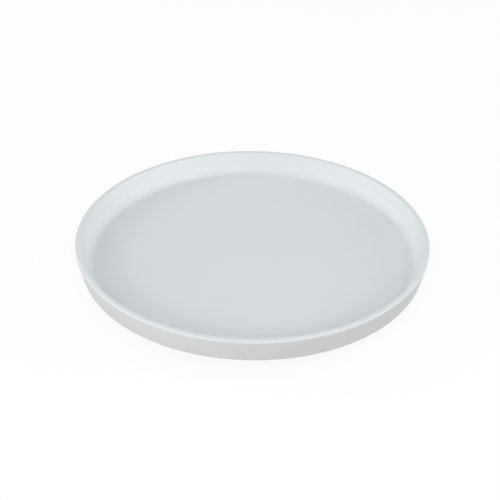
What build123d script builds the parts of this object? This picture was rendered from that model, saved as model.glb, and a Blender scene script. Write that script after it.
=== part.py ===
from build123d import *
from math import atan2, tan
import os

# Lazy susan turntable: a round tray that turns on a ball bearing over a low base with rubber feet.
# Millimetres, +Z up. The origin is on the turning axis, on the surface that the feet stand on.

round_share = 0.8  # the most that a round or a recess takes of the wall that it is made in

# Tray: a flat floor with a low flared wall
tray_radius = 150.0  # over the lip
tray_height = 21.5  # from the underside to the top of the lip
tray_floor = 3.1  # thickness of the floor
outer_flare = 4.9  # how much wider the outside is at the lip than at the underside
inner_flare = 3.5  # how much wider the inside is at the lip than at the floor
lip_width = 4.7
lip_outer_round = 2.4
lip_inner_round = 0.8
floor_cove = 9.0  # radius where the floor turns up into the wall
underside_round = 2.4

# Tray underside
shroud_wall = 2.5  # ring that hides the bearing from the side
shroud_clearance = 2.5  # from the base's rim out to the shroud
shroud_gap = 0.5  # from the base's deck up to the shroud's edge
tray_rib_count = 12
tray_rib_wall = 1.8
tray_collar_clearance = 2.0  # from the bush's flange out to the collar that the ribs start at
tray_collar_wall = 2.0
post_radius = 6.0  # shaft that the tray turns on
pilot_clearance = 0.05
pilot_skin = 2.0  # floor left over the blind screw hole

# Base
base_overhang = 15.5  # from the race out to the rim
base_height = 6.5  # from the rim's lower edge to the top of the deck
base_wall = 2.5
base_round = 2.0
deck_thickness = 2.4
base_rib_count = 12
base_rib_wall = 1.8
base_rib_inset = 0.5  # the ribs end this far above the rim's lower edge
base_collar_clearance = 2.0
base_collar_wall = 2.0

# Rubber feet
foot_count = 6
foot_inset = 14.0  # from the base's rim in to the middle of a foot
foot_turn = 15.0  # from the first rib to the first foot
foot_radius = 9.0
foot_standing = 1.5  # how far a foot stands out below the rim
foot_socket_depth = 1.0
foot_edge_round = 0.5
foot_socket_clearance = 0.05
foot_socket_wall = 1.5

# Ball bearing
ball_count = 12
ball_radius = 3.0
ball_circle_radius = 80.0
race_clearance = 0.05  # from a ball to the floor of either track
track_clearance = 0.5  # from a ball to the track's sides
track_round = 1.0
race_wall = 1.0  # race left beside the track
lower_race_rise = 1.0  # the lower race stands this far above the deck
upper_race_drop = 1.5  # the upper race hangs this far below the tray
lower_race_floor = 2.05  # wall under the lower track
cage_thickness = 1.2
cage_gap = 0.4  # above and below the cage
pocket_clearance = 0.25
cage_web = 2.75  # cage left beside a pocket
cage_slot_width = 2.6
cage_slot_share = 0.3  # of the angle from one ball to the next
cage_edge = 0.25

# Pivot: bush, washer and screw
bush_clearance = 0.06  # running fit on the post
bush_wall = 2.44
bush_flange_width = 3.5
bush_flange_thickness = 1.2
bush_gap = 1.8  # from the bush's flange to the tray's underside
bush_edge = 0.4
hub_wall = 3.5
end_float = 0.3  # from the washer to the hub
washer_overhang = 2.5  # washer beyond the bush, under the hub
washer_thickness = 1.2
washer_hole_clearance = 0.45
washer_recess_clearance = 0.3
washer_edge = 0.3
screw_radius = 1.75
screw_tip_length = 1.0
screw_tip_width = 1.6
screw_tip_gap = 0.6  # from the tip to the end of its hole
screw_inset = 0.1  # from the rim's lower edge up to the head
head_radius = 4.0
head_height = 2.2
head_round = 1.6
recess_width = 0.9
recess_margin = 1.8  # from the cross recess out to the head's edge
recess_depth = 1.3

# Heights
base_edge_z = foot_standing
deck_top = base_edge_z + base_height
deck_under = deck_top - deck_thickness
lower_land = deck_top + lower_race_rise
ball_z = lower_land + cage_gap + cage_thickness / 2
upper_land = lower_land + 2 * cage_gap + cage_thickness
lower_track = ball_z - ball_radius - race_clearance
upper_track = ball_z + ball_radius + race_clearance
tray_under = upper_land + upper_race_drop
floor_top = tray_under + tray_floor
lip_top = tray_under + tray_height
head_bottom = base_edge_z + screw_inset
head_seat = head_bottom + head_height
post_end = head_seat + washer_thickness
hub_bottom = post_end + end_float
flange_top = tray_under - bush_gap
hub_top = flange_top - bush_flange_thickness
pilot_end = floor_top - pilot_skin
foot_height = foot_standing + foot_socket_depth

# Radii and fits
bush_bore = post_radius + bush_clearance
bush_radius = bush_bore + bush_wall
hub_radius = bush_radius + hub_wall
flange_radius = bush_radius + bush_flange_width
washer_radius = bush_radius + washer_overhang
track_half_width = ball_radius + track_clearance
race_inner = ball_circle_radius - track_half_width - race_wall
race_outer = ball_circle_radius + track_half_width + race_wall
pocket_radius = ball_radius + pocket_clearance
base_radius = race_outer + base_overhang
foot_circle_radius = base_radius - foot_inset
shroud_inner = base_radius + shroud_clearance
tray_collar_inner = flange_radius + tray_collar_clearance
base_collar_inner = hub_radius + base_collar_clearance
rib_bottom = base_edge_z + base_rib_inset
foot_socket_radius = foot_radius + foot_socket_clearance
ball_step = 360 / ball_count
foot_step = 360 / foot_count


def fitted(size, *walls):
    """The size of a round or a recess, limited by the walls that it is made in."""
    return min(size, *(round_share * wall for wall in walls))


def turned(points, rounds):
    """A solid of revolution about Z, from (radius, height) corners and the round at each corner."""
    outline = FilletPolyline(*points, radius=rounds, close=True)
    return revolve(Plane.XZ * make_face(outline.edges()), Axis.Z)


def ring(inner, outer, bottom, top, edge=0.0):
    """A flat ring or collar about Z, with all four edges rounded alike."""
    return turned([(inner, bottom), (outer, bottom), (outer, top), (inner, top)], [edge] * 4)


def rod(radius, bottom, top, x=0.0):
    """An upright cylinder between two heights."""
    place = Pos(x, 0, bottom)
    return place * Cylinder(radius, top - bottom, align=(Align.CENTER, Align.CENTER, Align.MIN))


def spokes(count, wall, inner, outer, bottom, top):
    """Radial ribs about Z, the first one along +X."""
    align = (Align.MIN, Align.CENTER, Align.MIN)
    spoke = Pos(inner, 0, bottom) * Box(outer - inner, wall, top - bottom, align=align)
    return [Rot(0, 0, index * 360 / count) * spoke for index in range(count)]


def around(piece, count, step, start=0.0):
    """Copies of a piece turned about Z."""
    return [Rot(0, 0, start + index * step) * piece for index in range(count)]


def track(floor_z):
    """The ring that a race's track is cut with, from its floor to the middle of the balls."""
    inner = ball_circle_radius - track_half_width
    outer = ball_circle_radius + track_half_width
    corner = fitted(track_round, track_half_width, ball_radius)
    points = [(inner, floor_z), (outer, floor_z), (outer, ball_z), (inner, ball_z)]
    return turned(points, [corner, corner, 0, 0])


def make_tray():
    """The tray with its bearing race, shroud, ribs and post, in one moulding."""
    inner_round = fitted(lip_inner_round, lip_width / 4)
    outer_round = fitted(lip_outer_round, lip_width - inner_round)
    cove = fitted(floor_cove, tray_height - tray_floor)
    edge_round = fitted(underside_round, tray_floor)
    # The round starts from a sharp corner that lies as far out as it takes to end at tray_radius.
    wall_slope = atan2(tray_height, outer_flare)
    lip_corner = tray_radius + outer_round * (1 / tan(wall_slope / 2) - 1)
    inner_lip = tray_radius - lip_width
    outline = [
        (0, tray_under),
        (lip_corner - outer_flare, tray_under),
        (lip_corner, lip_top),
        (inner_lip, lip_top),
        (inner_lip - inner_flare, floor_top),
        (0, floor_top),
    ]
    tray = turned(outline, [0, edge_round, outer_round, inner_round, cove, 0])
    rooted = tray_under + tray_floor / 2  # what hangs under the floor starts inside it
    tray += ring(race_inner, race_outer, upper_land, rooted)
    tray += ring(shroud_inner, shroud_inner + shroud_wall, deck_top + shroud_gap, rooted)
    tray += ring(tray_collar_inner, tray_collar_inner + tray_collar_wall, upper_land, rooted)
    inner_ribs = (tray_collar_inner + tray_collar_wall / 2, race_inner + race_wall / 2)
    outer_ribs = (race_outer - race_wall / 2, shroud_inner + shroud_wall / 2)
    for inner, outer in (inner_ribs, outer_ribs):
        tray += spokes(tray_rib_count, tray_rib_wall, inner, outer, upper_land, rooted)
    tray += rod(post_radius, post_end, rooted)
    tray -= track(upper_track)
    tray -= rod(screw_radius + pilot_clearance, post_end, pilot_end)
    return tray


def make_base_plate():
    """The base: a deck with a rim, the lower race, a hub, ribs and foot sockets."""
    race_under = lower_track - lower_race_floor
    rim_inner = base_radius - base_wall
    rim_round = fitted(base_round, base_wall)
    base = turned(
        [
            (bush_radius, deck_under),
            (rim_inner, deck_under),
            (rim_inner, base_edge_z),
            (base_radius, base_edge_z),
            (base_radius, deck_top),
            (bush_radius, deck_top),
        ],
        [0, 0, 0, 0, rim_round, 0],
    )
    base += ring(race_inner, race_outer, race_under, lower_land)
    base += ring(bush_radius, hub_radius, min(hub_bottom, deck_under), hub_top)
    collar_outer = base_collar_inner + base_collar_wall
    base += ring(base_collar_inner, collar_outer, rib_bottom, deck_top)
    cross_rib = (collar_outer + race_inner - base_rib_wall) / 2
    base += ring(cross_rib, cross_rib + base_rib_wall, rib_bottom, deck_top)
    rib_start = base_collar_inner + base_collar_wall / 2
    rib_end = base_radius - base_wall / 2
    base += spokes(base_rib_count, base_rib_wall, rib_start, rib_end, rib_bottom, deck_under)
    boss = rod(foot_socket_radius + foot_socket_wall, base_edge_z, deck_under, foot_circle_radius)
    socket = rod(foot_socket_radius, base_edge_z, foot_height, foot_circle_radius)
    base += around(boss, foot_count, foot_step, foot_turn)
    base -= around(socket, foot_count, foot_step, foot_turn)
    base -= rod(washer_radius + washer_recess_clearance, base_edge_z, hub_bottom)
    base -= track(lower_track)
    return base


def make_foot_pad():
    """A round rubber foot that fills its socket and stands out below the rim."""
    pad = rod(foot_radius, 0, foot_height, foot_circle_radius)
    return fillet(pad.edges().group_by(Axis.Z)[0], fitted(foot_edge_round, foot_standing))


def make_ball_cage():
    """The flat ring that keeps the balls apart, with a slot between each two pockets."""
    half_width = pocket_radius + cage_web
    bottom = ball_z - cage_thickness / 2
    top = bottom + cage_thickness
    inner = ball_circle_radius - half_width
    outer = ball_circle_radius + half_width
    cage = ring(inner, outer, bottom, top, fitted(cage_edge, cage_thickness / 2))
    slot_angle = cage_slot_share * ball_step
    slot_line = CenterArc((0, 0), ball_circle_radius, (ball_step - slot_angle) / 2, slot_angle)
    slot = Pos(0, 0, bottom) * extrude(SlotArc(slot_line, cage_slot_width), cage_thickness)
    pocket = rod(pocket_radius, bottom, top, ball_circle_radius)
    cage -= around(pocket, ball_count, ball_step)
    cage -= around(slot, ball_count, ball_step)
    return cage


def make_ball():
    """One bearing ball, on +X."""
    return Pos(ball_circle_radius, 0, ball_z) * Sphere(ball_radius)


def make_pivot_bush():
    """The flanged bush that the post runs in, pressed into the hub."""
    edge = fitted(bush_edge, bush_flange_thickness / 2)
    outline = [
        (bush_bore, hub_bottom),
        (bush_radius, hub_bottom),
        (bush_radius, hub_top),
        (flange_radius, hub_top),
        (flange_radius, flange_top),
        (bush_bore, flange_top),
    ]
    return turned(outline, [0, edge, 0, edge, edge, edge])


def make_pivot_washer():
    """The washer that holds the tray down, clamped to the end of the post."""
    edge = fitted(washer_edge, washer_thickness / 2)
    return ring(screw_radius + washer_hole_clearance, washer_radius, head_seat, post_end, edge)


def make_pivot_screw():
    """The pan-head screw that goes up through the washer into the post."""
    tip = pilot_end - screw_tip_gap
    outline = [
        (0, head_bottom),
        (head_radius, head_bottom),
        (head_radius, head_seat),
        (screw_radius, head_seat),
        (screw_radius, tip - screw_tip_length),
        (min(screw_tip_width / 2, screw_radius), tip),
        (0, tip),
    ]
    crown = fitted(head_round, head_height, head_radius)
    screw = turned(outline, [0, crown, 0, 0, 0, 0, 0])
    recess_length = 2 * (head_radius - recess_margin)
    depth = fitted(recess_depth, head_height)
    align = (Align.CENTER, Align.CENTER, Align.MIN)
    for length, width in ((recess_length, recess_width), (recess_width, recess_length)):
        screw -= Pos(0, 0, head_bottom) * Box(length, width, depth, align=align)
    return screw


def save(name, piece):
    """Write one sub-part to its own file."""
    piece.label = name
    export_step(piece, os.path.join("parts", name + ".step"))


def main():
    os.makedirs("parts", exist_ok=True)
    save("tray", make_tray())
    save("base_plate", make_base_plate())
    save("ball_cage", make_ball_cage())
    save("pivot_bush", make_pivot_bush())
    save("pivot_washer", make_pivot_washer())
    save("pivot_screw", make_pivot_screw())
    foot_pads = around(make_foot_pad(), foot_count, foot_step, foot_turn)
    for index, foot_pad in enumerate(foot_pads, start=1):
        save(f"foot_pad_{index}", foot_pad)
    balls = around(make_ball(), ball_count, ball_step)
    for index, ball in enumerate(balls, start=1):
        save(f"ball_{index:02d}", ball)


if __name__ == "__main__":
    main()
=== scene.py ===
import math

import bmesh
import bpy
from bpy.props import FloatProperty, FloatVectorProperty, IntProperty, PointerProperty
from mathutils import Matrix, Vector


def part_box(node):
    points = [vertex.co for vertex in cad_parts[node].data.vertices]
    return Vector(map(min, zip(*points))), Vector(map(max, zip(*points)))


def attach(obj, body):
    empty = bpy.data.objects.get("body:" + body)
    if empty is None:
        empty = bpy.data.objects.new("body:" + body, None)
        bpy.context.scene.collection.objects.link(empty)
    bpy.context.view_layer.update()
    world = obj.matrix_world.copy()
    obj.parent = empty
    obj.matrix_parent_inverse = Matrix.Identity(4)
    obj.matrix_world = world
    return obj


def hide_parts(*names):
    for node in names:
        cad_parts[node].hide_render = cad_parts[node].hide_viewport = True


bl_info = {
    "name": "Turntable Workshop",
    "version": (1, 0, 0),
    "blender": (4, 5, 0),
    "location": "View3D > Sidebar > Turntable",
    "description": "Models a lazy susan turntable: tray, base, bearing, pivot and feet",
    "category": "Add Mesh",
}

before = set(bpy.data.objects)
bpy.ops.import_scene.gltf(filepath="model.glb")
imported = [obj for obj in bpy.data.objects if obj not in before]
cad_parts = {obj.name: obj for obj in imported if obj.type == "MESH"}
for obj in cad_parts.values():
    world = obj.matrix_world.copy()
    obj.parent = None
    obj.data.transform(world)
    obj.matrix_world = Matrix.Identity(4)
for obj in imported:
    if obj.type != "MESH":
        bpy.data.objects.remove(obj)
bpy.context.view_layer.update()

TRAY_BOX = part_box("tray")
BASE_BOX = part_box("base_plate")
CAGE_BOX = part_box("ball_cage")
BALL_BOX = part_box("ball_01")
BUSH_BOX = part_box("pivot_bush")
WASHER_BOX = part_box("pivot_washer")
SCREW_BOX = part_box("pivot_screw")
PAD_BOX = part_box("foot_pad_1")
PAD_CENTRE = (PAD_BOX[0] + PAD_BOX[1]) / 2
FOOT_CIRCLE = math.hypot(PAD_CENTRE.x, PAD_CENTRE.y)
FOOT_RADIUS = (PAD_BOX[1].x - PAD_BOX[0].x) / 2
FIRST_FOOT_ANGLE = math.atan2(PAD_CENTRE.y, PAD_CENTRE.x)
BALL_CIRCLE = (BALL_BOX[0].x + BALL_BOX[1].x) / 2
BALL_HEIGHT = (BALL_BOX[0].z + BALL_BOX[1].z) / 2
PADS = sorted(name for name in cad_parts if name.startswith("foot_pad_"))
BALLS = sorted(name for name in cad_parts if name.startswith("ball_") and name != "ball_cage")

SAME_PLACE = 1e-6  # metres: two points nearer than this are one
SMOOTH_ANGLE = math.radians(32)  # edges that turn more than this stay sharp
ARC_DEPTH = 0.000005  # how far the faces of a rounded corner may cut inside its arc
ARC_STEP = math.radians(24)  # the most that one face of a rounded corner may turn
HAIR_ROUND = 0.0001
FINE_ROUND = 0.0002
EDGE_ROUND = 0.0003  # on the free edge of a ring or a post
ROOT_ROUND = 0.0004  # where a ring or a post leaves a face
SOFT_ROUND = 0.0005
RIM_ROUND = 0.0006
SHROUD_ROOT = 0.0008
ROOT_PART = 3  # ribs and bosses start a third of a floor's thickness inside it
RIB_DRAFT = 0.8  # a rib's free edge is this share of its root
RIB_STEP = 0.0002  # how far a rib stays back from the edges of its rings
PIN_RADIUS = 0.003  # the round marks of the mould's ejector pins
PIN_STEP = 0.00015  # how far such a mark stands proud
TREAD_RINGS = (2, 4, 6)  # where the rings in a foot start, in ring steps from its middle
TREAD_STEPS = 9  # ring steps from a foot's middle to its edge
TREAD_WIDTH = 0.7  # a ring's width, in ring steps
TREAD_SLOPES = 6  # a ring's side leans over a ring step divided by this
GROOVE_HEIGHT = 0.45  # the grease groove's lower edge, as a share of the bush's length
RECESS_TAPER = (0.45, 0.7, 1.0)  # the cross recess at its deepest, as a share of its mouth
TIP_LENGTH = 0.001  # the screw's tapered tip
THREAD_ROOT = 0.7  # the thread starts this share of the core's radius from the axis
THREAD_FLANK = 0.32  # half the thread's width at its root, in pitches
THREAD_START = 0.6  # from the head to the first turn, in pitches
ROD_SIDES = 64
POCKET_SIDES = 48
SMALL_SIDES = 32  # of an ejector mark and a slot's end
FOOT_STEPS = 72
THREAD_STEPS = 36
NOISE_LOW, NOISE_HIGH = 0.3, 0.7  # most of a noise pattern lies between these
SENSOR_WIDTH = 36.0  # millimetres
FAR_CLIP = 50.0
WHITE = (1.0, 1.0, 1.0, 1.0)


def length(name, description, default, low=0.0):
    """A size in metres that a user can change."""
    return FloatProperty(
        name=name, description=description, default=default, min=low, unit="LENGTH", precision=5
    )


def count(name, description, default):
    """A number of copies or steps that a user can change."""
    return IntProperty(name=name, description=description, default=default, min=1)


def angle(name, description, degrees):
    """An angle that a user can change."""
    return FloatProperty(
        name=name, description=description, default=math.radians(degrees), unit="ROTATION"
    )


def watts(name, description, default):
    """The power of a lamp that a user can change."""
    return FloatProperty(name=name, description=description, default=default, min=0.0, unit="POWER")


def share(name, description, default):
    """A number from 0 to 1 that a user can change."""
    return FloatProperty(
        name=name, description=description, default=default, min=0.0, max=1.0, subtype="FACTOR"
    )


def colour(name, description, default):
    """A linear colour that a user can change."""
    return FloatVectorProperty(
        name=name, description=description, default=default, min=0.0, max=1.0, subtype="COLOR"
    )


class TraySizes(bpy.types.PropertyGroup):
    """The tray's pan, lip and underside."""

    radius: length("Radius", "Radius over the lip", TRAY_BOX[1].x)
    lip_top: length("Lip top", "Height of the lip's top above the table", TRAY_BOX[1].z)
    height: length("Height", "From the underside to the top of the lip", 0.0215)
    floor: length("Floor", "Thickness of the floor", 0.0031)
    outer_flare: length("Outer flare", "How much wider the outside is at the lip", 0.0049)
    inner_flare: length("Inner flare", "How much wider the inside is at the lip", 0.0035)
    lip_width: length("Lip width", "Width of the lip's top", 0.0047)
    lip_outer_round: length("Outer lip round", "Round on the outside of the lip", 0.0014)
    lip_inner_round: length("Inner lip round", "Round on the inside of the lip", 0.0008)
    cove: length("Cove", "Radius where the floor turns up into the wall", 0.009)
    underside_round: length("Underside round", "Round under the outer wall", 0.0024)
    shroud_clearance: length("Shroud clearance", "From the base's rim out to the shroud", 0.0025)
    shroud_wall: length("Shroud wall", "Thickness of the shroud", 0.0025)
    shroud_gap: length("Shroud gap", "From the base's deck up to the shroud", 0.0005)
    collar_inner: length("Collar", "Inner radius of the collar that the ribs start at", 0.014)
    collar_wall: length("Collar wall", "Thickness of the collar", 0.002)
    post_radius: length("Post radius", "Radius of the shaft that the tray turns on", 0.006)
    post_end: length("Post end", "Height of the post's lower end", TRAY_BOX[0].z)
    pilot_radius: length("Pilot radius", "Radius of the screw's hole in the post", 0.0018)
    pilot_skin: length("Pilot skin", "Floor left over the screw's hole", 0.002)
    rib_count: count("Ribs", "Number of radial ribs under the floor", 12)
    rib_wall: length("Rib wall", "Thickness of a rib where it meets the floor", 0.0018)
    steps: count("Steps", "Faces around the tray", 288)


class BaseSizes(bpy.types.PropertyGroup):
    """The base, its hub, its ribs and its rubber feet."""

    radius: length("Radius", "Radius of the rim", BASE_BOX[1].x)
    rim_edge: length("Rim edge", "Height of the rim's lower edge", BASE_BOX[0].z)
    hub_top: length("Hub top", "Height of the hub's upper end", BASE_BOX[1].z)
    hub_bottom: length("Hub bottom", "Height of the hub's lower end", BUSH_BOX[0].z)
    deck_top: length("Deck top", "Height of the deck", 0.008)
    deck: length("Deck", "Thickness of the deck", 0.0024)
    wall: length("Wall", "Thickness of the rim", 0.0025)
    rim_round: length("Rim round", "Round over the rim", 0.002)
    race_rise: length("Race rise", "How far the lower race stands above the deck", 0.001)
    race_floor: length("Race floor", "Wall under the lower track", 0.00205)
    hub_wall: length("Hub wall", "Thickness of the hub", 0.0035)
    collar_gap: length("Collar gap", "From the hub out to the collar", 0.002)
    collar_wall: length("Collar wall", "Thickness of the collar", 0.002)
    rib_inset: length("Rib inset", "From the rim's lower edge up to the ribs", 0.0005)
    rib_wall: length("Rib wall", "Thickness of a rib where it meets the deck", 0.0018)
    rib_count: count("Ribs", "Number of radial ribs", 12)
    socket_clearance: length("Socket clearance", "Beside a rubber foot", 0.00005)
    socket_wall: length("Socket wall", "Wall around a foot's socket", 0.0015)
    tread_depth: length("Tread depth", "Depth of the rings in a rubber foot", 0.00035)
    foot_round: length("Foot round", "Round on a rubber foot's lower edge", 0.0005)
    steps: count("Steps", "Faces around the base", 216)


class BearingSizes(bpy.types.PropertyGroup):
    """The tracks, the balls and the spacer that keeps the balls apart."""

    circle: length("Ball circle", "Radius that the balls run on", BALL_CIRCLE)
    ball_z: length("Ball height", "Height of the balls' middle", BALL_HEIGHT)
    ball: length("Ball", "Radius of a ball", 0.003)
    track_gap: length("Track gap", "From a ball to the floor of its track", 0.00005)
    track_side: length("Track side", "From a ball to the side of its track", 0.0005)
    track_round: length("Track round", "Round in the track's corners", 0.001)
    race_wall: length("Race wall", "Race left beside the track", 0.001)
    pocket: length("Pocket", "Radius of a ball's pocket", 0.00325)
    pocket_lip: length("Pocket lip", "Width of the raised lip around a pocket", 0.0008)
    pocket_rise: length("Pocket rise", "How far the lip stands off the spacer", 0.00015)
    spacer_edge: length("Spacer edge", "Round on the spacer's edges", 0.00025)
    slot_width: length("Slot width", "Width of the slots between pockets", 0.0026)
    slot_share: share("Slot share", "Part of the angle between two balls that a slot takes", 0.3)
    steps: count("Steps", "Faces around the spacer", 180)


class PivotSizes(bpy.types.PropertyGroup):
    """The bush, the washer and the screw."""

    bush_bore: length("Bush bore", "Radius of the bush's bore", 0.00606)
    bush_radius: length("Bush", "Radius of the bush in the hub", 0.0085)
    flange: length("Flange", "Thickness of the bush's flange", 0.0012)
    bush_edge: length("Bush edge", "Round on the bush's edges", 0.0004)
    washer_hole: length("Washer hole", "Radius of the washer's hole", 0.0022)
    washer_edge: length("Washer edge", "Round on the washer's edges", 0.0003)
    screw_core: length("Screw core", "Radius of the screw under its thread", 0.00128)
    screw_thread: length("Screw thread", "Radius over the thread", 0.00172)
    pitch: length("Pitch", "Distance between two turns of the thread", 0.0013)
    head_radius: length("Head", "Radius of the screw's head", 0.004)
    head_height: length("Head height", "Height of the screw's head", 0.0022)
    head_round: length("Head round", "Round on the screw's head", 0.0016)
    recess_length: length("Recess length", "Length of the cross recess", 0.0044)
    recess_width: length("Recess width", "Width of the cross recess", 0.0009)
    recess_depth: length("Recess depth", "Depth of the cross recess", 0.0013)
    steps: count("Steps", "Faces around a pivot part", 96)


class Finishes(bpy.types.PropertyGroup):
    """The colours and the gloss of each material."""

    tray: colour("Tray", "Satin white plastic of the tray", (0.698, 0.729, 0.747))
    tray_gloss: share("Tray roughness", "Roughness of the tray", 0.60)
    base: colour("Base", "Matte white plastic of the base", (0.68, 0.71, 0.725))
    nylon: colour("Nylon", "Natural nylon of the spacer", (0.74, 0.71, 0.63))
    acetal: colour("Acetal", "Black acetal of the bush", (0.018, 0.018, 0.02))
    ball: colour("Ball", "Polished bearing steel", (0.60, 0.60, 0.61))
    zinc: colour("Zinc", "Bright zinc plate on steel", (0.56, 0.58, 0.60))
    rubber: colour("Rubber", "Grey rubber of the feet", (0.075, 0.077, 0.08))


class StageSettings(bpy.types.PropertyGroup):
    """The camera, the lamps and the floor."""

    distance: length("Distance", "From the middle of the lip to the camera", 1.05)
    elevation: angle("Elevation", "How far the camera looks down", 32.41)
    roll: angle("Roll", "How far the camera leans", 0.67)
    aim_across: length("Aim across", "Where the camera aims, along X", -0.0019, -1.0)
    aim_towards: length("Aim towards", "Where the camera aims, along Y", -0.0235, -1.0)
    lens: FloatProperty(name="Lens", description="Focal length in mm", default=88.85, min=1.0)
    floor_size: length("Floor size", "Width of the floor", 8.0)
    floor_lift: share("Floor lift", "How much of the floor shows white whatever the light", 0.9)
    floor_bounce: colour("Floor bounce", "What the floor throws back", (0.485, 0.45, 0.437))
    sky: share("Sky", "Strength of the light from all round", 0.41)
    lamp_distance: length("Lamp distance", "From the turntable to each softbox", 1.6)
    lamp_size: length("Lamp size", "Width of each softbox", 0.7)
    front: watts("Front", "The softbox over the camera", 3.0)
    front_low: watts("Low front", "The softbox behind the camera", 4.4)
    front_left: watts("Front left", "The low softbox to the left of the camera", 7.0)
    left: watts("Left", "The low softbox on the left", 4.2)
    right: watts("Right", "The low softbox on the right", 8.0)
    right_high: watts("High right", "The high softbox on the right", 3.4)
    back_left: watts("Back left", "The softbox behind on the left", 4.1)


# Each softbox's setting, the way it lies from the turntable (0 is right, 270 is the front) and its
# height, both in degrees.
SOFTBOXES = (
    ("front", 270, 50),
    ("front_low", 270, 30),
    ("front_left", 240, 15),
    ("left", 180, 15),
    ("right", 0, 15),
    ("right_high", 0, 50),
    ("back_left", 150, 30),
)


def select_only(*pieces):
    """Select these objects alone. The first is the active one."""
    bpy.ops.object.select_all(action="DESELECT")
    for piece in pieces:
        piece.select_set(True)
    bpy.context.view_layer.objects.active = pieces[0] if pieces else None


def set_mode(mode):
    """Go into or out of edit mode."""
    bpy.ops.object.mode_set(mode=mode)


def select_mesh(action="SELECT"):
    """Select all of the mesh, or none of it, in edit mode."""
    bpy.ops.mesh.select_all(action=action)


def named(piece, name):
    """The piece, with its object and its mesh named alike."""
    piece.name = name
    piece.data.name = name
    return piece


def start_piece(name):
    """Add a plane and merge it to one vertex at the origin, left in edit mode."""
    select_only()
    bpy.ops.mesh.primitive_plane_add(size=0.001)
    piece = named(bpy.context.object, name)
    set_mode("EDIT")
    bpy.ops.mesh.select_mode(type="VERT")
    bpy.ops.mesh.merge(type="CENTER")
    return piece


def pick(piece, wanted):
    """Select the vertices for which wanted(place) is true, in edit mode."""
    select_mesh("DESELECT")
    bpy.ops.mesh.select_mode(type="VERT")
    mesh = bmesh.from_edit_mesh(piece.data)
    for vertex in mesh.verts:
        vertex.select = wanted(vertex.co)
    mesh.select_flush_mode()
    bmesh.update_edit_mesh(piece.data)


def extrude(*stride):
    """Draw out what is selected."""
    bpy.ops.mesh.extrude_region_move(TRANSFORM_OT_translate={"value": stride})


def near(radius, height):
    """A test for a point of an outline that hasn't been turned yet."""
    place = Vector((radius, 0, height))
    return lambda point: (point - place).length < SAME_PLACE


def round_corner(piece, before, corner, after):
    """Round one corner of an outline by a vertex bevel with the right setback."""
    radius, height, size = corner
    here = Vector((radius, height))
    to_before = (Vector(before[:2]) - here).normalized()
    to_after = (Vector(after[:2]) - here).normalized()
    between = to_before.angle(to_after)
    step = min(ARC_STEP, 2 * math.acos(1 - ARC_DEPTH / size))
    pick(piece, near(radius, height))
    bpy.ops.mesh.bevel(
        offset=size / math.tan(between / 2),
        segments=max(2, math.ceil((math.pi - between) / step)),
        affect="VERTICES",
    )


def turn(name, corners, steps, closed=True):
    """Trace (radius, height, round) corners by extruding a vertex, round them and spin them."""
    piece = start_piece(name)
    bpy.ops.transform.translate(value=(corners[0][0], 0, corners[0][1]))
    for here, there in zip(corners, corners[1:]):
        extrude(there[0] - here[0], 0, there[1] - here[1])
    if closed:
        first, last = near(*corners[0][:2]), near(*corners[-1][:2])
        pick(piece, lambda point: first(point) or last(point))
        bpy.ops.mesh.edge_face_add()
    for index, corner in enumerate(corners):
        if corner[2] > 0:
            after = corners[(index + 1) % len(corners)]
            round_corner(piece, corners[index - 1], corner, after)
    select_mesh()
    bpy.ops.mesh.spin(steps=steps, angle=math.tau, center=(0, 0, 0), axis=(0, 0, 1))
    close_seams()
    return piece


def close_seams():
    """Merge doubled points, turn faces outwards and leave edit mode."""
    select_mesh()
    bpy.ops.mesh.remove_doubles(threshold=SAME_PLACE)
    bpy.ops.mesh.normals_make_consistent(inside=False)
    set_mode("OBJECT")


def add_block(name, low, high):
    """A cube primitive sized and placed by its two corners, left in edit mode."""
    select_only()
    bpy.ops.mesh.primitive_cube_add(size=1.0)
    piece = named(bpy.context.object, name)
    set_mode("EDIT")
    size = [high[axis] - low[axis] for axis in range(3)]
    bpy.ops.transform.resize(value=size)
    bpy.ops.transform.translate(value=[(high[axis] + low[axis]) / 2 for axis in range(3)])
    return piece


def add_rod(name, radius, low, high, x=0.0, sides=ROD_SIDES):
    """An upright cylinder between two heights."""
    select_only()
    bpy.ops.mesh.primitive_cylinder_add(
        vertices=sides, radius=radius, depth=high - low, location=(x, 0, (low + high) / 2)
    )
    piece = named(bpy.context.object, name)
    bpy.ops.object.transform_apply(location=True, rotation=True, scale=True)
    return piece


def copies_about_axis(piece, number, start=0.0):
    """Copies of a piece turned about Z, each with its own mesh, in its place."""
    made = []
    for index in range(number):
        copy = piece.copy()
        copy.data = piece.data.copy()
        copy.data.transform(Matrix.Rotation(start + index * math.tau / number, 4, "Z"))
        bpy.context.scene.collection.objects.link(copy)
        made.append(copy)
    bpy.data.objects.remove(piece)
    return made


def joined(pieces):
    """Several objects as one."""
    select_only(*pieces)
    bpy.ops.object.join()
    return bpy.context.object


def ring_of(piece, number, start=0.0):
    """Copies of a piece about Z, as one tool."""
    return joined(copies_about_axis(piece, number, start))


def apply_modifier(piece, kind, **settings):
    """Add a modifier to a piece, set it and apply it."""
    select_only(piece)
    bpy.ops.object.modifier_add(type=kind)
    modifier = piece.modifiers[-1]
    for setting, value in settings.items():
        setattr(modifier, setting, value)
    bpy.ops.object.modifier_apply(modifier=modifier.name)


def combine(piece, tool, operation):
    """Add a tool to a piece, or cut it out of the piece, and delete the tool."""
    apply_modifier(piece, "BOOLEAN", operation=operation, solver="EXACT", object=tool)
    bpy.data.objects.remove(tool)


def smooth(piece):
    """Shade a piece smooth but for its sharp edges, with its flat faces kept flat."""
    select_only(piece)
    bpy.ops.object.shade_smooth_by_angle(angle=SMOOTH_ANGLE)
    apply_modifier(piece, "WEIGHTED_NORMAL", keep_sharp=True)


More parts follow.
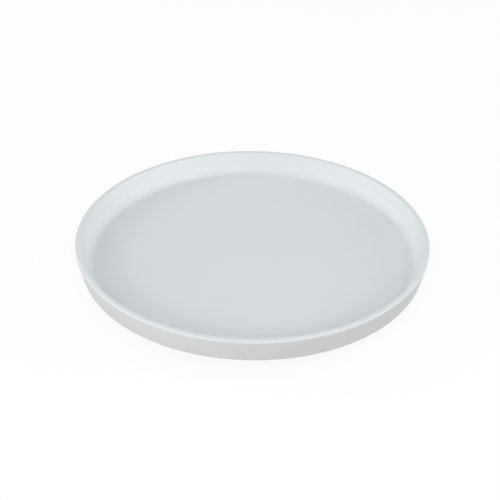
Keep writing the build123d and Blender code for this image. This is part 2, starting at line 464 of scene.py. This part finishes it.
def clear_slivers(piece):
    """Take out the needle faces that a cut can leave."""
    select_only(piece)
    set_mode("EDIT")
    select_mesh()
    bpy.ops.mesh.dissolve_degenerate(threshold=SAME_PLACE)
    set_mode("OBJECT")


def finish_piece(piece, body, material, slot, *nodes):
    """Smooth a piece, give it its material and put it in the frame."""
    if not piece.data.polygons:
        raise RuntimeError(f"{piece.name} has no faces")
    clear_slivers(piece)
    smooth(piece)
    piece.data.materials.clear()
    piece.data.materials.append(material)
    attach(piece, body)
    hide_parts(*nodes)


def ring_corners(first, last, face, end, root=ROOT_ROUND, between=()):
    """The corners of a ring that stands out of a face, drawn from one side to the other."""
    return [
        (first, face, root),
        (first, end, EDGE_ROUND),
        *between,
        (last, end, EDGE_ROUND),
        (last, face, root),
    ]


def race_corners(bearing, face, land, track_z, way):
    """The corners of a race and its ball track, drawn outwards (way 1) or inwards (way -1)."""
    half = bearing.ball + bearing.track_side
    near_side, far_side = bearing.circle - way * half, bearing.circle + way * half
    track = (
        (near_side, land, 0),
        (near_side, track_z, bearing.track_round),
        (far_side, track_z, bearing.track_round),
        (far_side, land, 0),
    )
    return ring_corners(*race_edges(bearing)[::way], face, land, between=track)


def race_edges(bearing):
    """Inner and outer radius of both races."""
    half = bearing.ball + bearing.track_side + bearing.race_wall
    return bearing.circle - half, bearing.circle + half


def upper_race_z(bearing):
    """Height of the upper race's land: as far above the spacer as the lower one is below it."""
    base = bpy.context.scene.turntable_base
    return 2 * bearing.ball_z - (base.deck_top + base.race_rise)


def radial_ribs(number, wall, inner, outer, low, high):
    """Drafted ribs about Z with softened free edges, as one tool."""
    rib = add_block("ribs", (inner, -wall / 2, low), (outer, wall / 2, high))
    pick(rib, lambda point: point.z < low + SAME_PLACE)
    centre = ((inner + outer) / 2, 0, low)
    bpy.ops.transform.resize(value=(1, RIB_DRAFT, 1), center_override=centre)
    select_long_edges(rib, low)
    bpy.ops.mesh.bevel(offset=FINE_ROUND, segments=2, affect="EDGES")
    set_mode("OBJECT")
    return ring_of(rib, number)


def pin_marks(number, circle, face, root):
    """Round ejector marks between the ribs, just proud of a face that looks down, as one tool."""
    mark = add_rod("marks", PIN_RADIUS, face - PIN_STEP, root, circle, SMALL_SIDES)
    return ring_of(mark, number, math.pi / number)


def select_long_edges(piece, height):
    """Select the edges along X that lie at one height, in edit mode."""
    select_mesh("DESELECT")
    bpy.ops.mesh.select_mode(type="EDGE")
    mesh = bmesh.from_edit_mesh(piece.data)
    for edge in mesh.edges:
        first, second = edge.verts
        level = max(abs(first.co.z - height), abs(second.co.z - height)) < SAME_PLACE
        along = abs(first.co.x - second.co.x) > SAME_PLACE
        edge.select = level and along
    bmesh.update_edit_mesh(piece.data)


def build_tray(scene):
    """The tray: pan, lip, post, collar, race and shroud in one turned outline, with ribs added."""
    tray, base, bearing = scene.turntable_tray, scene.turntable_base, scene.turntable_bearing
    under = tray.lip_top - tray.height
    floor_top = under + tray.floor
    wall_slope = math.atan2(tray.height, tray.outer_flare)
    lip_corner = tray.radius + tray.lip_outer_round * (1 / math.tan(wall_slope / 2) - 1)
    inner_lip = tray.radius - tray.lip_width
    land = upper_race_z(bearing)
    race_inner, race_outer = race_edges(bearing)
    collar_outer = tray.collar_inner + tray.collar_wall
    shroud_inner = base.radius + tray.shroud_clearance
    shroud_outer = shroud_inner + tray.shroud_wall
    shroud_z = base.deck_top + tray.shroud_gap
    track_z = bearing.ball_z + bearing.ball + bearing.track_gap
    pilot_z = floor_top - tray.pilot_skin
    corners = [
        (0, pilot_z, 0),
        (tray.pilot_radius, pilot_z, 0),
        (tray.pilot_radius, tray.post_end, 0),
        (tray.post_radius, tray.post_end, EDGE_ROUND),
        (tray.post_radius, under, ROOT_ROUND),
        *ring_corners(tray.collar_inner, collar_outer, under, land),
        *race_corners(bearing, under, land, track_z, 1),
        (shroud_inner, under, SOFT_ROUND),
        (shroud_inner, shroud_z, SOFT_ROUND),
        (shroud_outer, shroud_z, SOFT_ROUND),
        (shroud_outer, under, SHROUD_ROOT),
        (lip_corner - tray.outer_flare, under, tray.underside_round),
        (lip_corner, tray.lip_top, tray.lip_outer_round),
        (inner_lip, tray.lip_top, tray.lip_inner_round),
        (inner_lip - tray.inner_flare, floor_top, tray.cove),
        (0, floor_top, 0),
    ]
    piece = turn("turntable_tray", corners, tray.steps, closed=False)
    spans = (
        (collar_outer - tray.collar_wall / 2, race_inner + bearing.race_wall / 2),
        (race_outer - bearing.race_wall / 2, shroud_inner + tray.shroud_wall / 2),
    )
    root = under + tray.floor / ROOT_PART
    number = tray.rib_count
    added = []
    for span in spans:
        added.append(radial_ribs(number, tray.rib_wall, *span, land + RIB_STEP, root))
        added.append(pin_marks(number, sum(span) / 2, under, root))
    outside = (shroud_outer + lip_corner - tray.outer_flare) / 2
    added.append(pin_marks(number, outside, under, root))
    combine(piece, joined(added), "UNION")
    return piece


def build_base(scene):
    """The base: rim, deck, race, hub and collars in one turned outline, with ribs and sockets."""
    base, bearing, pivot = scene.turntable_base, scene.turntable_bearing, scene.turntable_pivot
    deck_under = base.deck_top - base.deck
    land = base.deck_top + base.race_rise
    race_inner, race_outer = race_edges(bearing)
    track_z = bearing.ball_z - bearing.ball - bearing.track_gap
    race_under = track_z - base.race_floor
    hub = pivot.bush_radius + base.hub_wall
    collar_inner = hub + base.collar_gap
    collar_outer = collar_inner + base.collar_wall
    rib_z = base.rim_edge + base.rib_inset
    ring_inner = (collar_outer + race_inner - base.rib_wall) / 2
    ring_outer = ring_inner + base.rib_wall
    rim_inner = base.radius - base.wall
    corners = [
        (pivot.bush_radius, base.hub_bottom, 0),
        (hub, base.hub_bottom, HAIR_ROUND),
        (hub, deck_under, HAIR_ROUND),
        *ring_corners(collar_inner, collar_outer, deck_under, rib_z),
        *ring_corners(ring_inner, ring_outer, deck_under, rib_z),
        *ring_corners(race_inner, race_outer, deck_under, race_under, EDGE_ROUND),
        (rim_inner, deck_under, RIM_ROUND),
        (rim_inner, base.rim_edge, ROOT_ROUND),
        (base.radius, base.rim_edge, RIM_ROUND),
        (base.radius, base.deck_top, base.rim_round),
        *race_corners(bearing, base.deck_top, land, track_z, -1),
        (hub, base.deck_top, SOFT_ROUND),
        (hub, base.hub_top, ROOT_ROUND),
        (pivot.bush_radius, base.hub_top, 0),
    ]
    piece = turn("turntable_base", corners, base.steps)
    root = deck_under + base.deck / ROOT_PART
    span = (collar_outer - base.collar_wall / 2, rim_inner + base.wall / 2)
    ribs = radial_ribs(base.rib_count, base.rib_wall, *span, rib_z + RIB_STEP, root)
    bosses = foot_rods(base, base.socket_wall, base.rim_edge, root)
    marks = pin_marks(base.rib_count, (ring_outer + race_inner) / 2, deck_under, root)
    combine(piece, joined([ribs, bosses, marks]), "UNION")
    sockets = foot_rods(base, 0.0, base.rim_edge - FOOT_RADIUS, PAD_BOX[1].z)
    combine(piece, sockets, "DIFFERENCE")
    return piece


def foot_rods(base, wall, low, high):
    """Upright rods this much wider than the sockets of the rubber feet, as one tool."""
    rod = add_rod("rods", FOOT_RADIUS + base.socket_clearance + wall, low, high, FOOT_CIRCLE)
    return ring_of(rod, len(PADS), FIRST_FOOT_ANGLE)


def build_feet(scene):
    """The rubber feet: one turned pad with tread rings, copied to each socket."""
    base = scene.turntable_base
    top = PAD_BOX[1].z
    step = FOOT_RADIUS / TREAD_STEPS
    lean = step / TREAD_SLOPES
    corners = [(0, 0, 0)]
    for start in TREAD_RINGS:
        inner, outer = start * step, (start + TREAD_WIDTH) * step
        corners += [
            (inner, 0, HAIR_ROUND),
            (inner + lean, base.tread_depth, HAIR_ROUND),
            (outer - lean, base.tread_depth, HAIR_ROUND),
            (outer, 0, HAIR_ROUND),
        ]
    corners += [(FOOT_RADIUS, 0, base.foot_round), (FOOT_RADIUS, top, FINE_ROUND), (0, top, 0)]
    pad = turn("rubber_foot", corners, FOOT_STEPS, closed=False)
    pad.data.transform(Matrix.Translation((FOOT_CIRCLE, 0, 0)))
    pads = copies_about_axis(pad, len(PADS), FIRST_FOOT_ANGLE)
    return [named(pad, f"rubber_foot_{number}") for number, pad in enumerate(pads, start=1)]


def build_spacer(scene):
    """The ball spacer: a flat ring with lipped pockets and curved slots."""
    bearing = scene.turntable_bearing
    low, high = CAGE_BOX[0].z, CAGE_BOX[1].z
    outer = CAGE_BOX[1].x
    inner = 2 * bearing.circle - outer
    edge = bearing.spacer_edge
    corners = [(inner, low, edge), (outer, low, edge), (outer, high, edge), (inner, high, edge)]
    piece = turn("ball_spacer", corners, bearing.steps)
    number = len(BALLS)
    lip = bearing.pocket + bearing.pocket_lip
    rise = bearing.pocket_rise
    boss = add_rod("lips", lip, low - rise, high + rise, bearing.circle, POCKET_SIDES)
    combine(piece, ring_of(boss, number), "UNION")
    hole = add_rod("pockets", bearing.pocket, low - lip, high + lip, bearing.circle, POCKET_SIDES)
    combine(piece, ring_of(hole, number), "DIFFERENCE")
    cut_slots(piece, bearing, low - lip, high + lip, number)
    return piece


def cut_slots(piece, bearing, low, high, number):
    """Cut a curved slot with round ends between each two pockets."""
    gap = math.tau / number
    sweep = bearing.slot_share * gap
    half = bearing.slot_width / 2
    start = (gap - sweep) / 2
    slot = start_piece("slots")
    bpy.ops.transform.translate(value=(bearing.circle - half, 0, low))
    extrude(2 * half, 0, 0)
    select_mesh()
    extrude(0, 0, high - low)
    select_mesh()
    bpy.ops.mesh.spin(steps=8, angle=sweep, center=(0, 0, 0), axis=(0, 0, -1))
    close_seams()
    slot.data.transform(Matrix.Rotation(start, 4, "Z"))
    combine(piece, ring_of(slot, number), "DIFFERENCE")
    for turned_by in (start, start + sweep):
        end = add_rod("ends", half, low, high, bearing.circle, SMALL_SIDES)
        combine(piece, ring_of(end, number, turned_by), "DIFFERENCE")


def build_balls(scene):
    """The steel balls: a subdivided cube drawn out to a sphere, copied round the track."""
    bearing = scene.turntable_bearing
    select_only()
    bpy.ops.mesh.primitive_cube_add(size=2 * bearing.ball)
    ball = bpy.context.object
    set_mode("EDIT")
    bpy.ops.mesh.subdivide(number_cuts=11)
    bpy.ops.transform.tosphere(value=1.0)
    reach = max(vertex.co.length for vertex in bmesh.from_edit_mesh(ball.data).verts)
    bpy.ops.transform.resize(value=[bearing.ball / reach] * 3)
    bpy.ops.transform.translate(value=(bearing.circle, 0, bearing.ball_z))
    set_mode("OBJECT")
    balls = copies_about_axis(ball, len(BALLS))
    return [named(ball, f"steel_ball_{number:02d}") for number, ball in enumerate(balls, start=1)]


def build_bush(scene):
    """The flanged bush, with a grease groove in its bore."""
    pivot = scene.turntable_pivot
    low, high = BUSH_BOX[0].z, BUSH_BOX[1].z
    bore, body, flange = pivot.bush_bore, pivot.bush_radius, BUSH_BOX[1].x
    edge = pivot.bush_edge
    groove = low + (high - low) * GROOVE_HEIGHT
    corners = [
        (bore, low, edge / 2),
        (body, low, edge),
        (body, high - pivot.flange, HAIR_ROUND),
        (flange, high - pivot.flange, edge / 2),
        (flange, high, edge),
        (bore, high, edge),
        (bore, groove + 3 * edge, 0),
        (bore + edge, groove + 2 * edge, FINE_ROUND),
        (bore + edge, groove + edge, FINE_ROUND),
        (bore, groove, 0),
    ]
    return turn("flanged_bush", corners, pivot.steps)


def build_washer(scene):
    """The retaining washer, punched: one edge rolled over and the other nearly sharp."""
    pivot = scene.turntable_pivot
    low, high = WASHER_BOX[0].z, WASHER_BOX[1].z
    outer = WASHER_BOX[1].x
    edge = pivot.washer_edge
    corners = [
        (pivot.washer_hole, low, edge),
        (outer, low, edge),
        (outer, high, edge / 3),
        (pivot.washer_hole, high, edge / 3),
    ]
    return turn("retaining_washer", corners, pivot.steps)


def build_screw(scene):
    """The pan-head screw, with a cross recess and a thread."""
    pivot = scene.turntable_pivot
    low, high = SCREW_BOX[0].z, SCREW_BOX[1].z
    seat = low + pivot.head_height
    shank_end = high - TIP_LENGTH
    head, core = pivot.head_radius, pivot.screw_core
    corners = [
        (0, low, 0),
        (head, low, pivot.head_round),
        (head, seat, FINE_ROUND),
        (core, seat, FINE_ROUND),
        (core, shank_end, FINE_ROUND),
        (core / 3, high, HAIR_ROUND),
        (0, high, 0),
    ]
    piece = turn("cross_head_screw", corners, pivot.steps, closed=False)
    combine(piece, screw_thread(pivot, seat, shank_end), "UNION")
    reach, half, depth = pivot.recess_length / 2, pivot.recess_width / 2, pivot.recess_depth
    for quarter in (0, math.tau / 4):
        recess = add_block("recess", (-reach, -half, low - depth), (reach, half, low + depth))
        pick(recess, lambda point: point.z > low)
        bpy.ops.transform.resize(value=RECESS_TAPER, center_override=(0, 0, low))
        set_mode("OBJECT")
        recess.data.transform(Matrix.Rotation(quarter, 4, "Z"))
        combine(piece, recess, "DIFFERENCE")
    return piece


def screw_thread(pivot, low, high):
    """One helical ridge around the core, from under the head to the tip."""
    turns = math.floor((high - low) / pivot.pitch) - 1
    root = pivot.screw_core * THREAD_ROOT
    flank = pivot.pitch * THREAD_FLANK
    start = low + pivot.pitch * THREAD_START
    ridge = start_piece("thread")
    bpy.ops.transform.translate(value=(root, 0, start - flank))
    rise = pivot.screw_thread - root
    extrude(rise, 0, flank)
    extrude(-rise, 0, flank)
    select_mesh()
    bpy.ops.mesh.edge_face_add()
    set_mode("OBJECT")
    apply_modifier(
        ridge, "SCREW", screw_offset=pivot.pitch, iterations=turns,
        steps=THREAD_STEPS, render_steps=THREAD_STEPS, use_merge_vertices=True,
    )
    set_mode("EDIT")
    bpy.ops.mesh.select_mode(type="VERT")
    select_mesh("DESELECT")
    bpy.ops.mesh.select_non_manifold()
    bpy.ops.mesh.fill()
    close_seams()
    return ridge


def add_node(tree, kind, values=None, **settings):
    """Add a shader node, with its settings and the values of some of its inputs."""
    node = tree.nodes.new(f"ShaderNode{kind}")
    for name, value in settings.items():
        setattr(node, name, value)
    return set_inputs(node, values or {})


def set_inputs(node, values):
    """Set the plain values of a node's inputs, by name or by number."""
    for name, value in values.items():
        node.inputs[name].default_value = value
    return node


def noise(tree, cells, detail, stretch=(1, 1, 1)):
    """A noise pattern on Object coordinates, with this many cells to the metre."""
    place = add_node(tree, "TexCoord")
    mapping = add_node(tree, "Mapping", {"Scale": stretch})
    texture = add_node(tree, "TexNoise", {"Scale": cells, "Detail": detail})
    tree.links.new(place.outputs["Object"], mapping.inputs["Vector"])
    tree.links.new(mapping.outputs["Vector"], texture.inputs["Vector"])
    return texture.outputs["Fac"]


def vary_colour(tree, shader, pattern, base_colour, spread):
    """Let the colour drift by a small share either way, following a pattern."""
    ramp = add_node(tree, "ValToRGB")
    stops = zip(ramp.color_ramp.elements, (NOISE_LOW, NOISE_HIGH), (1 - spread, 1 + spread))
    for stop, position, factor in stops:
        stop.position = position
        stop.color = (*[min(1.0, channel * factor) for channel in base_colour], 1.0)
    tree.links.new(pattern, ramp.inputs["Fac"])
    tree.links.new(ramp.outputs["Color"], shader.inputs["Base Color"])


def vary_roughness(tree, shader, pattern, low, high):
    """Let the roughness drift between two values, following a pattern."""
    values = {"From Min": NOISE_LOW, "From Max": NOISE_HIGH, "To Min": low, "To Max": high}
    spread = add_node(tree, "MapRange", values)
    tree.links.new(pattern, spread.inputs["Value"])
    tree.links.new(spread.outputs["Result"], shader.inputs["Roughness"])


def add_bump(tree, shader, pattern, depth, strength):
    """Raise the surface by a pattern. Depth is in metres, and calls can be stacked."""
    bump = add_node(tree, "Bump", {"Distance": depth, "Strength": strength})
    tree.links.new(pattern, bump.inputs["Height"])
    normal = shader.inputs["Normal"]
    if normal.is_linked:
        tree.links.new(normal.links[0].from_socket, bump.inputs["Normal"])
    tree.links.new(bump.outputs["Normal"], normal)


def patterned(name, base_colour, roughness, mottle, sheen, grains, **plain):
    """A material with a mottled colour, an uneven sheen and one or more layers of fine grain.

    Each pattern is (cells, detail) and then the colour's spread, the lowest and the highest
    roughness, or a grain's depth and strength, with its stretch if it runs one way.
    """
    material = bpy.data.materials.new(name)
    material.use_nodes = True
    tree = material.node_tree
    shader = set_inputs(tree.nodes["Principled BSDF"], {
        "Base Color": (*base_colour, 1.0), "Roughness": roughness, **plain,
    })
    vary_colour(tree, shader, noise(tree, *mottle[:2]), base_colour, *mottle[2:])
    vary_roughness(tree, shader, noise(tree, *sheen[:2]), *sheen[2:])
    for cells, detail, depth, strength, *stretch in grains:
        add_bump(tree, shader, noise(tree, cells, detail, *stretch), depth, strength)
    return material


def tray_plastic(finishes):
    """Satin white plastic with a very fine moulded grain."""
    gloss = finishes.tray_gloss
    return patterned(
        "tray_satin_white", finishes.tray, gloss,
        mottle=(14.0, 3.0, 0.006),
        sheen=(60.0, 4.0, gloss - 0.03, gloss + 0.05),
        grains=[(35.0, 2.0, 0.00004, 0.6), (1500.0, 2.0, 0.00001, 0.5)],
    )


def base_plastic(finishes):
    """Matte white plastic with a coarser spark-eroded grain."""
    return patterned(
        "base_matte_white", finishes.base, 0.55,
        mottle=(20.0, 3.0, 0.012),
        sheen=(90.0, 3.0, 0.5, 0.62),
        grains=[(2200.0, 3.0, 0.00002, 0.6)],
    )


def spacer_nylon(finishes):
    """Natural nylon: creamy and slightly waxy."""
    return patterned(
        "spacer_nylon", finishes.nylon, 0.42,
        mottle=(60.0, 3.0, 0.03),
        sheen=(300.0, 3.0, 0.36, 0.5),
        grains=[(1800.0, 2.0, 0.00001, 0.5)],
        **{"Subsurface Weight": 0.15, "Subsurface Scale": 0.001},
    )


def bush_acetal(finishes):
    """Black acetal with faint turning rings."""
    return patterned(
        "bush_acetal", finishes.acetal, 0.32,
        mottle=(500.0, 3.0, 0.2),
        sheen=(900.0, 3.0, 0.26, 0.42),
        grains=[(60.0, 2.0, 0.000008, 0.6, (1, 1, 90))],
    )


def ball_steel(finishes):
    """Polished bearing steel with a trace of fine scratches."""
    return patterned(
        "ball_steel", finishes.ball, 0.09,
        mottle=(700.0, 2.0, 0.02),
        sheen=(2500.0, 4.0, 0.06, 0.16),
        grains=[(900.0, 4.0, 0.000002, 0.5, (1, 6, 1))],
        Metallic=1.0,
    )


def zinc_plate(finishes):
    """Bright zinc plate: cool grey with a faint cloudy spangle."""
    return patterned(
        "zinc_plated_steel", finishes.zinc, 0.3,
        mottle=(450.0, 3.0, 0.05),
        sheen=(1600.0, 4.0, 0.22, 0.42),
        grains=[(3000.0, 3.0, 0.000006, 0.6)],
        Metallic=1.0,
    )


def foot_rubber(finishes):
    """Grey rubber with a dusty, slightly pitted skin."""
    return patterned(
        "foot_rubber", finishes.rubber, 0.8,
        mottle=(800.0, 4.0, 0.18),
        sheen=(500.0, 3.0, 0.72, 0.9),
        grains=[(2600.0, 4.0, 0.00003, 0.7)],
    )


def camera_rays(tree):
    """1 for rays that come from the camera, or by a mirror or through glass, and 0 for others."""
    path = add_node(tree, "LightPath")
    total = path.outputs["Is Camera Ray"]
    for name in ("Is Glossy Ray", "Is Transmission Ray"):
        larger = add_node(tree, "Math", operation="MAXIMUM")
        tree.links.new(total, larger.inputs[0])
        tree.links.new(path.outputs[name], larger.inputs[1])
        total = larger.outputs["Value"]
    return total


def floor_material(lift, bounce):
    """A white floor that keeps shadows: part glows white to the eye, and the rest takes light."""
    material = bpy.data.materials.new("floor_white")
    material.use_nodes = True
    tree = material.node_tree
    tree.nodes.clear()
    seen = camera_rays(tree)
    paleness = add_node(tree, "Mix", data_type="RGBA")
    unseen, shown = [socket for socket in paleness.inputs if socket.type == "RGBA"]
    unseen.default_value = (*bounce, 1.0)
    shown.default_value = WHITE
    diffuse = add_node(tree, "BsdfDiffuse")
    glow = add_node(tree, "Emission")
    white_part = add_node(tree, "Math", {1: lift}, operation="MULTIPLY")
    upper_side = add_node(tree, "MixShader")
    both_sides = add_node(tree, "MixShader")
    tone = [socket for socket in paleness.outputs if socket.type == "RGBA"][0]
    for start, end in (
        (seen, paleness.inputs["Factor"]),
        (tone, diffuse.inputs["Color"]),
        (seen, white_part.inputs[0]),
        (white_part.outputs["Value"], upper_side.inputs["Fac"]),
        (diffuse.outputs["BSDF"], upper_side.inputs[1]),
        (glow.outputs["Emission"], upper_side.inputs[2]),
        (add_node(tree, "NewGeometry").outputs["Backfacing"], both_sides.inputs["Fac"]),
        (upper_side.outputs["Shader"], both_sides.inputs[1]),
        (add_node(tree, "BsdfTransparent").outputs["BSDF"], both_sides.inputs[2]),
        (both_sides.outputs["Shader"], add_node(tree, "OutputMaterial").inputs["Surface"]),
    ):
        tree.links.new(start, end)
    return material


def add_floor(stage):
    """The floor that the turntable stands on."""
    select_only()
    bpy.ops.mesh.primitive_plane_add(size=stage.floor_size)
    floor = bpy.context.object
    floor.name = "studio_floor"
    floor.data.materials.append(floor_material(stage.floor_lift, stage.floor_bounce))


def add_softbox(stage, name, azimuth, elevation):
    """A square soft lamp that faces the turntable from one side."""
    level = math.cos(math.radians(elevation))
    towards = Vector((
        math.cos(math.radians(azimuth)) * level,
        math.sin(math.radians(azimuth)) * level,
        math.sin(math.radians(elevation)),
    ))
    centre = Vector((0, 0, TRAY_BOX[1].z / 2))
    bpy.ops.object.light_add(type="AREA", location=centre + stage.lamp_distance * towards)
    lamp = bpy.context.object
    lamp.name = f"{name}_softbox"
    lamp.data.energy = getattr(stage, name)
    lamp.data.size = stage.lamp_size
    lamp.rotation_mode = "QUATERNION"
    lamp.rotation_quaternion = (-towards).to_track_quat("-Z", "Y")


def add_sky(strength):
    """Even light from all round, which shows as white behind the floor."""
    world = bpy.data.worlds.new("studio_sky")
    bpy.context.scene.world = world
    world.use_nodes = True
    tree = world.node_tree
    background = set_inputs(tree.nodes["Background"], {"Color": WHITE})
    blend = add_node(tree, "MapRange", {"To Min": strength, "To Max": 1.0})
    tree.links.new(camera_rays(tree), blend.inputs["Value"])
    tree.links.new(blend.outputs["Result"], background.inputs["Strength"])


def add_camera(stage, lip_top):
    """The camera, aimed at a point of the lip's plane and rolled a little."""
    level, rise = -math.cos(stage.elevation), math.sin(stage.elevation)
    place = Vector((0, 0, lip_top)) + stage.distance * Vector((0, level, rise))
    target = Vector((stage.aim_across, stage.aim_towards, lip_top))
    forward = (target - place).normalized()
    right = forward.cross(Vector((0, 0, 1))).normalized()
    up = right.cross(forward)
    across = right * math.cos(stage.roll) + up * math.sin(stage.roll)
    upward = up * math.cos(stage.roll) - right * math.sin(stage.roll)
    bpy.ops.object.camera_add()
    camera = bpy.context.object
    turned = Matrix((across, upward, -forward)).transposed().to_4x4()
    camera.matrix_world = Matrix.Translation(place) @ turned
    camera.data.lens = stage.lens
    camera.data.sensor_width = SENSOR_WIDTH
    camera.data.clip_end = FAR_CLIP
    bpy.context.scene.camera = camera


class TURNTABLE_OT_tray(bpy.types.Operator):
    """Model the tray with its lip, race, shroud, ribs and post"""

    bl_idname = "turntable.tray"
    bl_label = "Tray"

    def execute(self, context):
        material = tray_plastic(context.scene.turntable_finishes)
        finish_piece(build_tray(context.scene), "tray", material, "tray_white", "tray")
        return {"FINISHED"}


class TURNTABLE_OT_base(bpy.types.Operator):
    """Model the base with its rim, race, hub, ribs and foot sockets"""

    bl_idname = "turntable.base"
    bl_label = "Base"

    def execute(self, context):
        material = base_plastic(context.scene.turntable_finishes)
        finish_piece(build_base(context.scene), "base", material, "base_white", "base_plate")
        return {"FINISHED"}


class TURNTABLE_OT_feet(bpy.types.Operator):
    """Model the rubber feet with their tread rings"""

    bl_idname = "turntable.feet"
    bl_label = "Rubber feet"

    def execute(self, context):
        material = foot_rubber(context.scene.turntable_finishes)
        for pad, node in zip(build_feet(context.scene), PADS):
            finish_piece(pad, "base", material, "foot_rubber", node)
        return {"FINISHED"}


class TURNTABLE_OT_spacer(bpy.types.Operator):
    """Model the ball spacer with its pockets and slots"""

    bl_idname = "turntable.spacer"
    bl_label = "Ball spacer"

    def execute(self, context):
        material = spacer_nylon(context.scene.turntable_finishes)
        finish_piece(build_spacer(context.scene), "cage", material, "cage_nylon", "ball_cage")
        return {"FINISHED"}


class TURNTABLE_OT_balls(bpy.types.Operator):
    """Model the steel balls round the track"""

    bl_idname = "turntable.balls"
    bl_label = "Steel balls"

    def execute(self, context):
        material = ball_steel(context.scene.turntable_finishes)
        for ball, node in zip(build_balls(context.scene), BALLS):
            finish_piece(ball, node, material, "ball_steel", node)
        return {"FINISHED"}


class TURNTABLE_OT_bush(bpy.types.Operator):
    """Model the flanged bush that the post runs in"""

    bl_idname = "turntable.bush"
    bl_label = "Flanged bush"

    def execute(self, context):
        material = bush_acetal(context.scene.turntable_finishes)
        finish_piece(build_bush(context.scene), "base", material, "bush_acetal", "pivot_bush")
        return {"FINISHED"}


class TURNTABLE_OT_washer_and_screw(bpy.types.Operator):
    """Model the retaining washer and the cross-head screw that holds it"""

    bl_idname = "turntable.washer_and_screw"
    bl_label = "Washer and screw"

    def execute(self, context):
        material = zinc_plate(context.scene.turntable_finishes)
        finish_piece(build_washer(context.scene), "tray", material, "zinc_steel", "pivot_washer")
        finish_piece(build_screw(context.scene), "tray", material, "zinc_steel", "pivot_screw")
        return {"FINISHED"}


class TURNTABLE_OT_stage(bpy.types.Operator):
    """Set the white floor, the soft lamps, the sky and the camera"""

    bl_idname = "turntable.stage"
    bl_label = "Stage"

    def execute(self, context):
        scene = context.scene
        stage = scene.turntable_stage
        add_floor(stage)
        for softbox in SOFTBOXES:
            add_softbox(stage, *softbox)
        add_sky(stage.sky)
        add_camera(stage, scene.turntable_tray.lip_top)
        scene.view_settings.view_transform = "Standard"
        return {"FINISHED"}


class TURNTABLE_PT_workshop(bpy.types.Panel):
    """The sidebar panel that lists the pieces and their sizes"""

    bl_idname = "TURNTABLE_PT_workshop"
    bl_label = "Turntable"
    bl_space_type = "VIEW_3D"
    bl_region_type = "UI"
    bl_category = "Turntable"

    def draw(self, context):
        for operator in OPERATORS:
            self.layout.operator(operator.bl_idname)
        for name in GROUPS:
            group = getattr(context.scene, name)
            box = self.layout.box()
            for key in group.__annotations__:
                box.prop(group, key)


GROUPS = {
    "turntable_tray": TraySizes,
    "turntable_base": BaseSizes,
    "turntable_bearing": BearingSizes,
    "turntable_pivot": PivotSizes,
    "turntable_finishes": Finishes,
    "turntable_stage": StageSettings,
}
OPERATORS = (
    TURNTABLE_OT_tray,
    TURNTABLE_OT_base,
    TURNTABLE_OT_feet,
    TURNTABLE_OT_spacer,
    TURNTABLE_OT_balls,
    TURNTABLE_OT_bush,
    TURNTABLE_OT_washer_and_screw,
    TURNTABLE_OT_stage,
)


def register():
    """Register the sizes, the operators and the panel."""
    for group in GROUPS.values():
        bpy.utils.register_class(group)
    for name, group in GROUPS.items():
        setattr(bpy.types.Scene, name, PointerProperty(type=group))
    for operator in OPERATORS:
        bpy.utils.register_class(operator)
    bpy.utils.register_class(TURNTABLE_PT_workshop)


def unregister():
    """Take the add-on out again."""
    bpy.utils.unregister_class(TURNTABLE_PT_workshop)
    for operator in reversed(OPERATORS):
        bpy.utils.unregister_class(operator)
    for name in GROUPS:
        delattr(bpy.types.Scene, name)
    for group in reversed(GROUPS.values()):
        bpy.utils.unregister_class(group)


def main():
    """Register the add-on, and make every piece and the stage."""
    register()
    bpy.ops.turntable.tray()
    bpy.ops.turntable.base()
    bpy.ops.turntable.feet()
    bpy.ops.turntable.spacer()
    bpy.ops.turntable.balls()
    bpy.ops.turntable.bush()
    bpy.ops.turntable.washer_and_screw()
    bpy.ops.turntable.stage()


if __name__ == "__main__":
    main()
